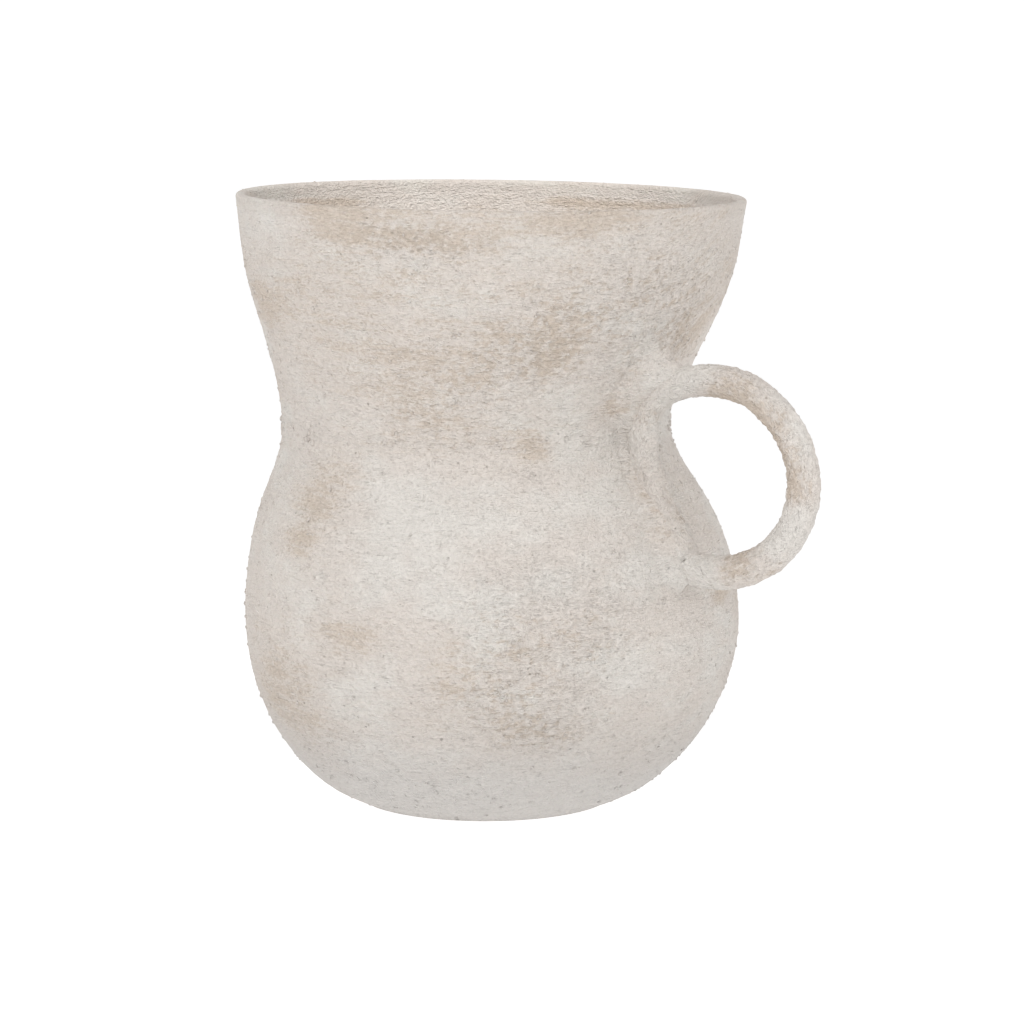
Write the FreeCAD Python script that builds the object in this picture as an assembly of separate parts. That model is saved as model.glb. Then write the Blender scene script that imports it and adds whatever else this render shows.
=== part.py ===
import FreeCAD, Part
import math
import os

# A hand-built jug in coarse fired clay: a wide mouth, a pinched waist and a full ring for a handle.
# It stands on its foot at the origin, +Z up, with the ring in the XZ plane on the +X side. Lengths are
# in millimetres. Each piece is a length of clay that the potter shapes by itself and lutes on with slip.

# The four girths of the pot: how wide, how high, and how far the centre drifts towards the ring
foot_radius = 59.6
belly_radius = 114.7
belly_height = 85.0
belly_drift = 3.9
waist_radius = 90.0
waist_height = 175.0
waist_drift = -4.8
rim_radius = 118.0
rim_height = 280.0
rim_drift = 2.6

# The mouth isn't level: from side to side it drops by this much towards the ring
rim_dip = 4.1

# The clay thins from the foot to the rim, and the floor is one slab
foot_wall = 7.0
rim_wall = 4.6
slab_thickness = 8.0

# The last coil of the wall, wiped round with a wet leather
lip_height = 6.0
lip_rounding = 1.9

# The wedge of clay that is pressed into the joint at the waist, and stands a little proud of it
seam_height = 8.0
seam_depth = 2.8
seam_stands_out = 0.6

# The ring: a rolled coil bent into an oval, from inside the waist's surface to well clear of the belly
coil_radius = 7.5
ring_reach = 60.7
ring_lean = 2.5
ring_half_height = 42.1
ring_drop = 14.6
ring_stands_off = 0.5
ring_easing = 9.0

# The luting clay: a collar wiped round each root of the ring, and a bead along the wall between them
luting_edge = 0.6
luting_flare = 3.8
bead_sink = 6.0

# How far a cutting block runs past what it cuts
overrun = 20.0

# The outline between the girths: shares of the rise, of the change of radius and of the change of drift
lower_shares = (
    (0.0, 0.0, 0.0),
    (0.06, 0.209, 0.10),
    (0.12, 0.352, 0.18),
    (0.24, 0.548, 0.36),
    (0.47, 0.789, 0.69),
    (0.71, 0.935, 0.90),
)
middle_shares = (
    (0.0, 0.0, 0.0),
    (0.17, 0.032, 0.05),
    (0.33, 0.125, 0.16),
    (0.5, 0.300, 0.33),
    (0.67, 0.578, 0.61),
    (0.83, 0.870, 0.90),
)
upper_shares = (
    (0.0, 0.0, 0.0),
    (0.14, 0.095, 0.18),
    (0.33, 0.340, 0.53),
    (0.52, 0.614, 0.82),
    (0.71, 0.812, 1.00),
    (0.86, 0.902, 1.04),
    (1.0, 1.0, 1.0),
)
# The dip of the mouth begins at this share of the height
dip_start_share = 0.6
# The flat crest of the seam is this share of its height
seam_crest_share = 0.5
# Where the coil changes its bend: shares of a full turn, from the outermost place of the ring upwards
bend_shares = (0.0, 0.13, 0.25, 0.37, 0.46, 0.56, 0.64, 0.70, 0.78, 0.89)
# Where to look for the roots of the ring: shares of a full turn on the wall and clear of it
upper_root_shares = (0.5, 0.25)
lower_root_shares = (0.5, 1.0)
# Sections of the luting clay: the place, where 1 is the upper root of the ring and 2 the lower one,
# then shares of the flare and of the sink into the wall
luting_shares = (
    (0.59, 0.05, 0.0),
    (0.68, 0.35, 0.0),
    (0.77, 0.80, 0.2),
    (0.88, 1.00, 0.7),
    (1.07, 1.00, 1.0),
    (1.44, 1.00, 1.0),
    (1.81, 1.00, 0.7),
    (2.01, 0.90, 0.2),
    (2.14, 0.40, 0.0),
    (2.27, 0.05, 0.0),
)
# The places between which each stretch of the luting clay lies
luting_stretch_shares = {
    "handle_upper_luting": (0.59, 0.88),
    "handle_wall_luting": (0.88, 1.81),
    "handle_lower_luting": (1.81, 2.27),
}
# The line of the ring is measured at this many places
ring_places = 24
# How often the stretch that holds a root is halved to find it
halvings = 24

UP = FreeCAD.Vector(0, 0, 1)
ACROSS = FreeCAD.Vector(0, 1, 0)
FULL_TURN = 360
DIP_SLOPE = rim_dip / (2 * rim_radius)


def places_between(low, high, shares):
    """Places on the outer surface between two girths, each as radius, drift and height."""
    places = []
    for rise_share, radius_share, drift_share in shares:
        radius = low[0] + (high[0] - low[0]) * radius_share
        drift = low[1] + (high[1] - low[1]) * drift_share
        height = low[2] + (high[2] - low[2]) * rise_share
        places.append(FreeCAD.Vector(radius, drift, height))
    return places


def outline_places():
    foot = (foot_radius, 0, 0)
    belly = (belly_radius, belly_drift, belly_height)
    waist = (waist_radius, waist_drift, waist_height)
    rim = (rim_radius, rim_drift, rim_height)
    places = places_between(foot, belly, lower_shares)
    places += places_between(belly, waist, middle_shares)
    return places + places_between(waist, rim, upper_shares)


PLACES = outline_places()
HEIGHTS = [place.z for place in PLACES]
# The outer surface as a curve of the height, which holds its radius (x), drift (y) and height (z)
OUTLINE = Part.BSplineCurve()
OUTLINE.interpolate(Points=PLACES, Parameters=HEIGHTS)


def wall_thickness(height):
    return foot_wall + (rim_wall - foot_wall) * height / rim_height


def hoop(height, inset):
    """A round section of the pot at a height, lying inside the outer surface by the inset."""
    place = OUTLINE.value(height)
    along = OUTLINE.tangent(height)[0]
    radius = place.x - inset * math.hypot(1, along.x / along.z)
    tilt_share = max(0, height / rim_height - dip_start_share) / (1 - dip_start_share)
    facing = FreeCAD.Vector(DIP_SLOPE * tilt_share, 0, 1)
    circle = Part.Circle(FreeCAD.Vector(place.y, 0, height), facing, radius)
    return Part.Wire([circle.toShape()])


def pot_solid():
    """The pot with no hollow in it."""
    return Part.makeLoft([hoop(height, 0) for height in HEIGHTS], True)


def hollow_solid():
    """The space inside the pot, from the top of the slab to the rim."""
    heights = [slab_thickness] + [height for height in HEIGHTS if height > 2 * slab_thickness]
    return Part.makeLoft([hoop(height, wall_thickness(height)) for height in heights], True)


def all_above(height, slope):
    """A block over a plane at a height on the axis, which drops towards +X by the slope."""
    span = 2 * (rim_radius + belly_radius + overrun)
    corner = FreeCAD.Vector(-span / 2, -span / 2, height)
    block = Part.makeBox(span, span, rim_height + overrun, corner)
    block.rotate(FreeCAD.Vector(rim_drift, 0, height), ACROSS, math.degrees(math.atan(slope)))
    return block


def waist_seam():
    """The wedge of clay in the waist's joint, turned about the middle of the waist."""
    axis = FreeCAD.Vector(waist_drift, 0, waist_height)
    surface = axis + FreeCAD.Vector(waist_radius, 0, 0)
    root = surface - FreeCAD.Vector(seam_depth, 0, 0)
    crest = surface + FreeCAD.Vector(seam_stands_out, 0, 0)
    foot = FreeCAD.Vector(0, 0, seam_height / 2)
    brow = foot * seam_crest_share
    corners = [root, surface - foot, crest - brow, crest + brow, surface + foot, root]
    return Part.Face(Part.makePolygon(corners)).revolve(axis, UP, FULL_TURN)


def rim_lip(wall):
    """The last coil of the wall, with both edges of its top wiped round."""
    lip = wall.common(all_above(rim_height - lip_height, DIP_SLOPE)).Solids[0]
    half_way = FreeCAD.Vector(rim_drift, 0, rim_height - lip_height / 2)
    facing = FreeCAD.Vector(DIP_SLOPE, 0, 1)
    top_edges = [
        edge for edge in lip.Edges
        if edge.isClosed() and (edge.CenterOfMass - half_way).dot(facing) > 0
    ]
    return lip.makeFillet(lip_rounding, top_edges)


def ring_seat(turn_share):
    """Where the wall would seat the coil, how far the oval stands clear of that, and how high."""
    turn = 2 * math.pi * turn_share
    height = waist_height - ring_drop + ring_half_height * math.sin(turn)
    pot = OUTLINE.value(height)
    seat = pot.x + pot.y + ring_stands_off
    inner_side = waist_drift + waist_radius - ring_lean
    outer_side = belly_drift + belly_radius + ring_reach
    oval = (inner_side + outer_side + (outer_side - inner_side) * math.cos(turn)) / 2
    return seat, oval - seat, height


def ring_root(on_wall, off_wall):
    """The share of a full turn at which the oval leaves the wall, between two shares."""
    for _ in range(halvings):
        between = (on_wall + off_wall) / 2
        if ring_seat(between)[1] > 0:
            off_wall = between
        else:
            on_wall = between
    return on_wall


def luting_turn(place):
    """The share of a full turn for a place that is counted from root to root."""
    ends = [0, ring_root(*upper_root_shares), ring_root(*lower_root_shares), 1]
    leg = int(place)
    return ends[leg] + (ends[leg + 1] - ends[leg]) * (place - leg)


def ring_line():
    """The middle of the coil as a closed curve of the turn: an oval that the wall pushes outwards."""
    points = []
    for place in range(ring_places):
        seat, clear, height = ring_seat(place / ring_places)
        points.append(FreeCAD.Vector(seat + (clear + math.hypot(clear, ring_easing)) / 2, 0, height))
    line = Part.BSplineCurve()
    turn_shares = [place / ring_places for place in range(ring_places + 1)]
    line.interpolate(Points=points, PeriodicFlag=True, Parameters=turn_shares)
    return line


def bend(start, along, end):
    """An arc that leaves its start in a given direction and reaches its end."""
    chord = end - start
    half_angle = chord.getAngle(along)
    side = along - chord * (along.dot(chord) / chord.dot(chord))
    side.normalize()
    middle = start + chord / 2 + side * (chord.Length / 2 * math.tan(half_angle / 2))
    return Part.Arc(start, middle, end).toShape()


def two_bends(start, along, end, onward):
    """Two arcs that run smoothly into each other, with a given direction at each end."""
    chord = end - start
    pull = chord.dot(along + onward)
    spread = 2 * (1 - along.dot(onward))
    reach = chord.dot(chord) / (pull + math.sqrt(pull * pull + spread * chord.dot(chord)))
    meeting = (start + along * reach + end - onward * reach) / 2
    return [bend(start, along, meeting), bend(end, -onward, meeting)]


def ring_coil(line):
    """The closed coil of the ring, swept along smooth bends."""
    bends = []
    for here, there in zip(bend_shares, bend_shares[1:] + bend_shares[:1]):
        bends += two_bends(line.value(here), line.tangent(here)[0], line.value(there), line.tangent(there)[0])
    path = Part.Wire(Part.__sortEdges__(bends))
    first = bend_shares[0]
    section = Part.Wire([Part.Circle(line.value(first), line.tangent(first)[0], coil_radius).toShape()])
    return path.makePipeShell([section], True, False)


def luting_clay(line, first, last):
    """A stretch of luting clay round the coil, between two places."""
    sections = []
    for place, flare_share, sink_share in luting_shares:
        if not first <= place <= last:
            continue
        turn_share = luting_turn(place)
        along = line.tangent(turn_share)[0]
        into_wall = ACROSS.cross(along) * (bead_sink * sink_share)
        radius = coil_radius + luting_edge + luting_flare * flare_share
        sections.append(Part.Wire([Part.Circle(line.value(turn_share) + into_wall, along, radius).toShape()]))
    return Part.makeLoft(sections, True)


def pieces():
    """Every piece of the jug by its name. Each is cut by the very piece that it is pressed against."""
    pot = pot_solid()
    wall = pot.cut(hollow_solid())
    over_slab = all_above(slab_thickness, 0)
    over_waist = all_above(waist_height, 0)
    seam = waist_seam()
    line = ring_line()
    coil = ring_coil(line)
    found = {
        "base_slab": pot.cut(over_slab),
        "belly_wall": wall.common(over_slab).cut(over_waist).cut(seam),
        "waist_seam": seam,
        "neck_wall": wall.common(over_waist).cut(all_above(rim_height - lip_height, DIP_SLOPE)).cut(seam),
        "rim_lip": rim_lip(wall),
        "ring_handle": coil.cut(pot).cut(seam),
    }
    for name, (first, last) in luting_stretch_shares.items():
        found[name] = luting_clay(line, first, last).cut(pot).cut(seam).cut(coil)
    return found


def main():
    os.makedirs("parts", exist_ok=True)
    for name, shape in pieces().items():
        shape.exportStep(f"parts/{name}.step")
        print(f"{name}: {len(shape.Solids)} solid, {shape.Volume / 1000:.1f} ml of clay")


if __name__ == "__main__":
    main()
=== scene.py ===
# %% [markdown]
# # A hand-built jug with a ring handle
# The jug is coarse clay with crushed brick in it (grog), brushed with a thin, chalky slip and fired. The CAD
# model gives its places and its plain forms, and these cells give it the skin that a potter's hands leave.
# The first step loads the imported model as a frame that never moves.

import bpy
import math
import numpy as np
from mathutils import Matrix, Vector
from mathutils.bvhtree import BVHTree


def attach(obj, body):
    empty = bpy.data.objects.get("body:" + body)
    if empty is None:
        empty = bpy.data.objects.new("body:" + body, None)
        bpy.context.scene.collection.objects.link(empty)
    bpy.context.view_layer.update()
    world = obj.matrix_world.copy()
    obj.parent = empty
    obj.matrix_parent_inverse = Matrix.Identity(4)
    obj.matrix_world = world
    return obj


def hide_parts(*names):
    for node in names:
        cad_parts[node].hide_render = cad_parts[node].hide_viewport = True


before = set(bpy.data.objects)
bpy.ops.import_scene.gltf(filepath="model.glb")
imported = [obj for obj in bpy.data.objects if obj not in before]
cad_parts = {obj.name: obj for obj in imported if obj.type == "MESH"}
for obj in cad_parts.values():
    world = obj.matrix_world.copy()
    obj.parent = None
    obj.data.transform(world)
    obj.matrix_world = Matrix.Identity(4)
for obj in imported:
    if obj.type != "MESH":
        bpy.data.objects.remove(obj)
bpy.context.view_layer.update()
mm = 0.001

# %% [markdown]
# ## The camera
# The photograph was taken from a little above the rim with a long lens, so the mouth is a thin ellipse. The
# ring handle lies along +X, and the camera stands 40 degrees round from the front of it. Camera and lamps
# all look along their own -Z, so one helper can turn any of them towards its target.

# %% Set the camera
def new_object(name, data):
    """An object in the scene, at the origin, for a mesh, a lamp or a camera."""
    obj = bpy.data.objects.new(name, data)
    bpy.context.scene.collection.objects.link(obj)
    return obj


def stand(obj, place, target):
    """Puts a camera or a lamp at a place and turns it towards its target."""
    obj.location, obj.rotation_mode = place, "QUATERNION"
    obj.rotation_quaternion = (target - place).to_track_quat("-Z", "Y")


view_turn, view_rise, view_distance = math.radians(40), math.radians(8.144), 1.6
front, up = Vector((math.sin(view_turn), -math.cos(view_turn), 0)), Vector((0, 0, 1))
right = Vector((math.cos(view_turn), math.sin(view_turn), 0))
aim = up * 132.77 * mm + right * 12.25 * mm
camera = new_object("camera", bpy.data.cameras.new("camera"))
stand(camera, aim + (front * math.cos(view_rise) + up * math.sin(view_rise)) * view_distance, aim)
camera.data.lens, camera.data.sensor_width = 121.24, 36
camera.data.clip_start, camera.data.clip_end = 0.05, 50
bpy.context.scene.camera = camera
bpy.context.scene.view_settings.view_transform = "Standard"
print("camera stands at", [round(v, 3) for v in camera.location])

# %% [markdown]
# ## Helpers for every node tree
# Materials and Geometry Nodes are both trees of nodes. The first helper adds one node: each feed is either a
# number for its socket, or another node's output, which is linked. A number that a tree works out is wrapped
# in a small class, so that + - * / can be written as in any sum, and each sign lays out one Math node.

# %% Helpers for node trees
def add(tree, kind, feeds=(), **settings):
    """One node of that kind. feeds go to its sockets in order, or by name."""
    node = tree.nodes.new(kind)
    for name, value in settings.items():
        setattr(node, name, value)
    for key, value in feeds.items() if isinstance(feeds, dict) else enumerate(feeds):
        value = getattr(value, "socket", value)
        if isinstance(value, bpy.types.NodeSocket):
            tree.links.new(value, node.inputs[key])
        elif value is not None:
            node.inputs[key].default_value = value
    return node


class Level:
    """A number that a tree works out for each place, ready for sums."""

    def __init__(self, tree, socket):
        self.tree, self.socket = tree, socket

    def __add__(self, other):
        return sums(self.tree, "ADD", self, other)

    def __radd__(self, other):
        return sums(self.tree, "ADD", other, self)

    def __sub__(self, other):
        return sums(self.tree, "SUBTRACT", self, other)

    def __rsub__(self, other):
        return sums(self.tree, "SUBTRACT", other, self)

    def __mul__(self, other):
        return sums(self.tree, "MULTIPLY", self, other)

    def __truediv__(self, other):
        return sums(self.tree, "DIVIDE", self, other)

    def __rtruediv__(self, other):
        return sums(self.tree, "DIVIDE", other, self)


def sums(tree, operation, *values):
    """One Math node, such as MAXIMUM or SQRT."""
    return Level(tree, add(tree, "ShaderNodeMath", values, operation=operation).outputs[0])


def spread(tree, value, low, high, to_low=0.0, to_high=1.0, smooth=True):
    """Where value lies between low and high, eased, as a number from to_low to to_high."""
    feeds, kind = (value, low, high, to_low, to_high), "SMOOTHSTEP" if smooth else "LINEAR"
    return Level(tree, add(tree, "ShaderNodeMapRange", feeds, interpolation_type=kind).outputs[0])

# %% [markdown]
# ## Helpers for places and noise
# Every pattern on the clay is noise that is read at a place. If the place is squeezed upright first, its
# lumps come out long and level, which is how a brush on a turning pot leaves them.

# %% Helpers for places and noise
def axes(tree, place):
    """The x, y and z of a place."""
    return [Level(tree, socket) for socket in add(tree, "ShaderNodeSeparateXYZ", (place,)).outputs]


def vectors(tree, operation, *values):
    """One Vector Math node, which gives a place or, for LENGTH, DISTANCE and DOT_PRODUCT, a number."""
    outputs = add(tree, "ShaderNodeVectorMath", values, operation=operation).outputs
    return Level(tree, outputs["Value"]) if operation in ("LENGTH", "DISTANCE", "DOT_PRODUCT") else outputs[0]


def scaled(tree, vector, share):
    """A direction or a colour times a number."""
    return add(tree, "ShaderNodeVectorMath", {0: vector, "Scale": share}, operation="SCALE").outputs[0]


def brushed(tree, place, pull):
    """A place squeezed upright, so that a pattern on it is drawn out the way the brush went: round the pot,
    and sloping up to the right high on the neck."""
    x, y, z = axes(tree, place)
    to_right = spread(tree, y, -30 * mm, 70 * mm, 0.0, 60 * mm) * spread(tree, x, 30 * mm, 70 * mm)
    climb = to_right * 0.42 * spread(tree, z, 185 * mm, 235 * mm)
    return add(tree, "ShaderNodeCombineXYZ", (x, y, (z - climb) * pull)).outputs[0]


def noise(tree, place, size, detail=2.0, rough=0.5, distortion=0.0):
    """Noise whose lumps are about that size in metres, from 0 to 1."""
    feeds = {"Vector": place, "Scale": 1 / size, "Detail": detail, "Roughness": rough, "Distortion": distortion}
    return Level(tree, add(tree, "ShaderNodeTexNoise", feeds, noise_dimensions="3D").outputs[0])

# %% [markdown]
# ## The floor
# The floor is one white sheet that curves up far behind the jug. Like a light table it glows, which is painted
# light, and it glows a little brighter under the jug, so that the underside of the belly is nearly as bright as
# its top and hardly a shadow falls round the foot.

# %% Lay the floor
def white_sheet():
    """A round floor that turns up into a wall, so that it lies behind the jug wherever the camera stands."""
    sheet_columns, flat_reach, bend = 96, 4.0, 2.0
    rows = [(0.5, 0.0), (1.5, 0.0), (3.0, 0.0), (flat_reach, 0.0)]
    rows += [(flat_reach + bend * math.sin(a), bend - bend * math.cos(a)) for a in np.linspace(0.15, math.pi / 2, 12)]
    rows += [(flat_reach + bend, 5.0)]
    round_turns = np.linspace(0, 2 * math.pi, sheet_columns, endpoint=False)
    places = [(reach * math.cos(t), reach * math.sin(t), rise) for reach, rise in rows for t in round_turns]
    faces = [tuple(range(sheet_columns))]
    for i in range(len(rows) - 1):
        low, high = i * sheet_columns, (i + 1) * sheet_columns
        for j in range(sheet_columns):
            beside = (j + 1) % sheet_columns
            faces.append((low + j, high + j, high + beside, low + beside))
    mesh = bpy.data.meshes.new("white_sheet")
    mesh.from_pydata(places, [], faces)
    mesh.validate()
    mesh.polygons.foreach_set("use_smooth", [True] * len(mesh.polygons))
    return mesh


floor = new_object("white_sheet", white_sheet())
paper = bpy.data.materials.new("white_paper")
paper.use_nodes = True
paper_surface = paper.node_tree.nodes["Principled BSDF"].inputs
for title, value in (("Base Color", (0.6, 0.6, 0.6, 1)), ("Roughness", 1.0), ("Specular IOR Level", 0.0)):
    paper_surface[title].default_value = value
paper_surface["Emission Color"].default_value = (1, 1, 1, 1)
from_foot = vectors(paper.node_tree, "LENGTH", add(paper.node_tree, "ShaderNodeTexCoord").outputs["Object"])
# Painted light: the sheet's own glow, strongest within 60 mm of the middle and fading by 220 mm, so no shadow shows
# round the foot.
glow = spread(paper.node_tree, from_foot, 60 * mm, 220 * mm, 0.80, 0.55)
paper.node_tree.links.new(glow.socket, paper_surface["Emission Strength"])
floor.data.materials.append(paper)
print("the floor has", len(floor.data.polygons), "faces")

# %% [markdown]
# ## The light
# A catalogue picture is lit by big, soft lamps: hardly any shadow, and a little more light from the upper
# left. A white card fills the right side. A snoot, a lamp with a narrow beam, reaches over the front of the
# rim and lights the inside of the back wall.

# %% Set the light
def lamp(name, kind, place, target, power, **settings):
    """A lamp of that kind, turned towards its target."""
    data = bpy.data.lights.new(name, kind)
    data.energy = power
    for key, value in settings.items():
        setattr(data, key, value)
    stand(new_object(name, data), place, target)


jug_middle, back_wall, snoot_rise = up * 140 * mm, Vector((-0.07, 0.08, 0.262)), math.radians(50)
lamp("window", "AREA", right * -0.65 + front * 1.85 + up * 1.3, jug_middle, 10.3, size=1.4)
lamp("skylight", "AREA", front * 0.9 + up * 2.2, jug_middle, 7.8, size=1.2)
lamp("white_card", "AREA", right * 1.7 + front * 1.0 + up * 0.9, jug_middle, 2.7, size=1.2)
snoot_place = back_wall + (front * math.cos(snoot_rise) + up * math.sin(snoot_rise)) * 1.5
beam = dict(spot_size=math.radians(10.5), spot_blend=0.7, shadow_soft_size=0.05)
lamp("snoot", "SPOT", snoot_place, back_wall, 28, color=(1.0, 0.97, 0.93), **beam)
world = bpy.data.worlds.new("studio")
bpy.context.scene.world = world
world.use_nodes = True
world.node_tree.nodes["Background"].inputs["Color"].default_value = (1, 1, 1, 1)
world.node_tree.nodes["Background"].inputs["Strength"].default_value = 0.475
print("three soft lamps, a snoot into the mouth and a white room")

# %% [markdown]
# ## Measure the plain walls
# Rays sent in from outside and out from the axis find the CAD wall's two sides. The skin is then laid on
# those radii, so it can't leave the frame. The groove for the waist seam is passed over, because the wall's
# skin runs on smoothly there and the seam gets a piece of its own.

# %% Measure the walls
def ray_target(*names):
    """The CAD nodes' faces, ready for rays."""
    places, faces = [], []
    for name in names:
        mesh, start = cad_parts[name].data, len(places)
        places += [v.co.copy() for v in mesh.vertices]
        faces += [[start + i for i in p.vertices] for p in mesh.polygons]
    return BVHTree.FromPolygons(places, faces)


walls = ray_target("base_slab", "belly_wall", "neck_wall", "rim_lip")
turns = np.radians(np.arange(0, 360, 5))
at_foot = [0.05, 0.3, 0.7, 1.2, 2, 3, 4, 5.5, 7, 8.5]
outside_heights = np.concatenate([at_foot, np.arange(10, 170, 1.5), np.arange(180, 277, 1.5)]) * mm
inside_heights = np.concatenate([[8.5, 9.5], np.arange(11, 277, 1.5)]) * mm


def wall_radii(heights, inward):
    """The wall's radius from the Z axis at each height and turn."""
    radii = np.zeros((len(heights), len(turns)))
    for i, height in enumerate(heights):
        for j, turn in enumerate(turns):
            out = Vector((math.cos(turn), math.sin(turn), 0))
            start = out * 0.3 if inward else Vector((0, 0, 0))
            hit = walls.ray_cast(start + Vector((0, 0, height)), -out if inward else out)[0]
            radii[i, j] = math.hypot(hit.x, hit.y)
    return radii


outside_radii, inside_radii = wall_radii(outside_heights, True), wall_radii(inside_heights, False)
print("belly", round(outside_radii.max() / mm, 1), "mm, walls", outside_radii.shape, inside_radii.shape)

# %% [markdown]
# ## Bridge the seam's groove
# A curve of the fourth degree through the wall above and below the waist gives the radii over the groove.
# Between measured places the radius is a straight mix of its four neighbours.

# %% Bridge the groove
slab_top, belly_joint, waist = 8 * mm, 92 * mm, 175 * mm
near_seam = (outside_heights > 152 * mm) & (outside_heights < 198 * mm)
bridge_heights = np.arange(170.5, 179.6, 1.5) * mm
curve = np.polynomial.polynomial
bends = curve.polyfit((outside_heights[near_seam] - waist) / mm, outside_radii[near_seam], 4)
outside_radii = np.concatenate([outside_radii, curve.polyval((bridge_heights - waist) / mm, bends).T])
outside_heights = np.concatenate([outside_heights, bridge_heights])
outside_radii, outside_heights = outside_radii[np.argsort(outside_heights)], np.sort(outside_heights)


def radius_at(heights, radii, turn, height):
    """The radius between the measured places, carried straight on above the highest."""
    place = np.interp(height, heights, np.arange(len(heights)))
    low = np.clip(place.astype(int), 0, len(heights) - 2)
    share = np.where(height > heights[-1], (height - heights[low]) / (heights[low + 1] - heights[low]), place - low)
    step = (turn / (2 * math.pi) % 1) * len(turns)
    left_side = step.astype(int) % len(turns)
    right_side, right_share = (left_side + 1) % len(turns), step - step.astype(int)
    at_low = radii[low, left_side] * (1 - right_share) + radii[low, right_side] * right_share
    at_high = radii[low + 1, left_side] * (1 - right_share) + radii[low + 1, right_side] * right_share
    return at_low * (1 - share) + at_high * share


print("walls with the groove bridged:", outside_radii.shape)

# %% [markdown]
# ## The potter's hand
# In a few places the potter's hand pushed the wall in or out. Each push is given by its turn and height, half
# its width in degrees, half its height and its depth in mm. The mouth is tilted a little, down on the ring's
# side, as in the photograph.

# %% Push the walls
columns = 720
column_turns = np.linspace(0, 2 * math.pi, columns, endpoint=False)
rim_height, rim_slope, lip_low, lip_rounding = 280 * mm, 4.1 / 236, 6 * mm, 1.9 * mm
hand_shifts = [(40, 179, 70, 12, -1.2), (-140, 179, 70, 12, 0.6), (-140, 284, 55, 13, -1.6)]


def degrees_off(turn, middle):
    """How far a turn lies from the middle, in degrees either way."""
    return (np.degrees(turn) - middle + 180) % 360 - 180


def side_of(turn, height, outside):
    """The radius of one side of the wall, with the hand's few pushes."""
    radius = radius_at(*((outside_heights, outside_radii) if outside else (inside_heights, inside_radii)), turn, height)
    for middle, level, half_turn, half_height, push in hand_shifts:
        sideways, upwards = degrees_off(turn, middle) / half_turn, (height / mm - level) / half_height
        radius = radius + push * mm * np.exp(-(sideways**2) - upwards**2)
    return radius


# How high the tilted mouth is over each column
rim = rim_height - rim_slope * side_of(column_turns, np.full(columns, 270 * mm), True) * np.cos(column_turns)
print("the mouth is", round(rim.min() / mm, 1), "to", round(rim.max() / mm, 1), "mm up")

# %% [markdown]
# ## One skin over the whole pot
# The skin is a sheet of 720 columns. Its rows run from the middle of the foot, up the outside, over the lip,
# down the inside and to the middle of the floor. It is roughened as one sheet and only then cut where the
# potter's pieces meet, so no step shows at a joint.

# %% Lay out the skin's rows
def even_heights(low, high, step, outside):
    """Heights between low and high whose rows are about a step apart along the wall."""
    fine = np.linspace(low, high, 400)
    middle = np.mean([side_of(np.full_like(fine, t), fine, outside) for t in turns[::6]], axis=0)
    run = np.concatenate([[0], np.cumsum(np.hypot(np.diff(fine), np.diff(middle)))])
    return np.interp(np.linspace(0, run[-1], max(2, round(run[-1] / step) + 1)), run, fine)


rows = []  # each row: its part of the pot, its radii, its heights


def add_row(part, radius, height):
    rows.append((part, np.broadcast_to(radius, columns), np.broadcast_to(height, columns)))


def wall_rows(part, low, high, step, outside, tilt=0.0):
    """Rows up one side of a wall; with tilt, the last rows lie along the tilted mouth."""
    for height in even_heights(low, high, step, outside):
        level = height + tilt * (height - low) / (high - low) * (rim - rim_height)
        add_row(part, side_of(column_turns, level, outside), level)


foot, outside_step = side_of(column_turns, np.full(columns, 0.0), True), 1.05 * mm
for share in np.linspace(0.08, 1, 12)[:-1]:
    add_row("slab", foot * share, 0.0)
wall_rows("slab", 0.0, slab_top, outside_step, True)
wall_rows("low_out", slab_top, belly_joint, outside_step, True)
wall_rows("high_out", belly_joint, waist, outside_step, True)
wall_rows("neck_out", waist, rim_height - lip_low, outside_step, True, 1.0)
print(len(rows), "rows outside")

# %% [markdown]
# ## Over the lip and down the inside
# The lip is rounded over on both edges. Its rows follow a quarter turn, a narrow top and a quarter turn back,
# each given as a drop below the mouth and a share of the way from the outside to the inside. Where two parts
# meet, the same row has been laid twice, and one of the two is dropped.

# %% Rows over the lip and down the inside
thickness = 4.6 * mm
over = [(drop, 0.0) for drop in np.linspace(lip_low, lip_rounding, 6)]
for a in np.linspace(0, math.pi / 2, 7)[1:]:
    over.append((lip_rounding * (1 - math.sin(a)), lip_rounding / thickness * (1 - math.cos(a))))
over += [(drop, 1 - share) for drop, share in over[::-1]]
for drop, share in over:
    level = rim - drop
    radius = side_of(column_turns, level, True) * (1 - share) + side_of(column_turns, level, False) * share
    add_row("lip", radius, level)
outside_rows = len(rows)
for part, low, high, step, tilt in (
    ("neck_in", waist, rim_height - lip_low, 4.0, 1.0),
    ("high_in", belly_joint, waist, 4.5, 0.0),
    ("low_in", slab_top, belly_joint, 5.0, 0.0),
):
    before = len(rows)
    wall_rows(part, low, high, step * mm, False, tilt)
    rows[before:] = rows[before:][::-1]
floor_edge = side_of(column_turns, np.full(columns, slab_top), False)
for share in np.linspace(1, 0.08, 14):
    add_row("floor", floor_edge * share, slab_top)

keep = [0]
for i in range(1, len(rows)):
    if not all(np.allclose(here, before) for here, before in zip(rows[i][1:], rows[i - 1][1:])):
        keep.append(i)
joint_rows = {}
for new, old in enumerate(keep):
    joint_rows.setdefault(rows[old][0], []).append(new)
rows = [rows[i] for i in keep]
inside_start = sum(i < outside_rows for i in keep)


def round_the_pot(radius, height):
    """The places of whole rows, from their radii and their heights."""
    return np.stack([radius * np.cos(column_turns), radius * np.sin(column_turns), height], axis=-1)


radius_grid, height_grid = np.array([r[1] for r in rows]), np.array([r[2] for r in rows])
skin_places = round_the_pot(radius_grid, height_grid)
print(skin_places.shape, {part: (found[0], found[-1]) for part, found in joint_rows.items()})
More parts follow.
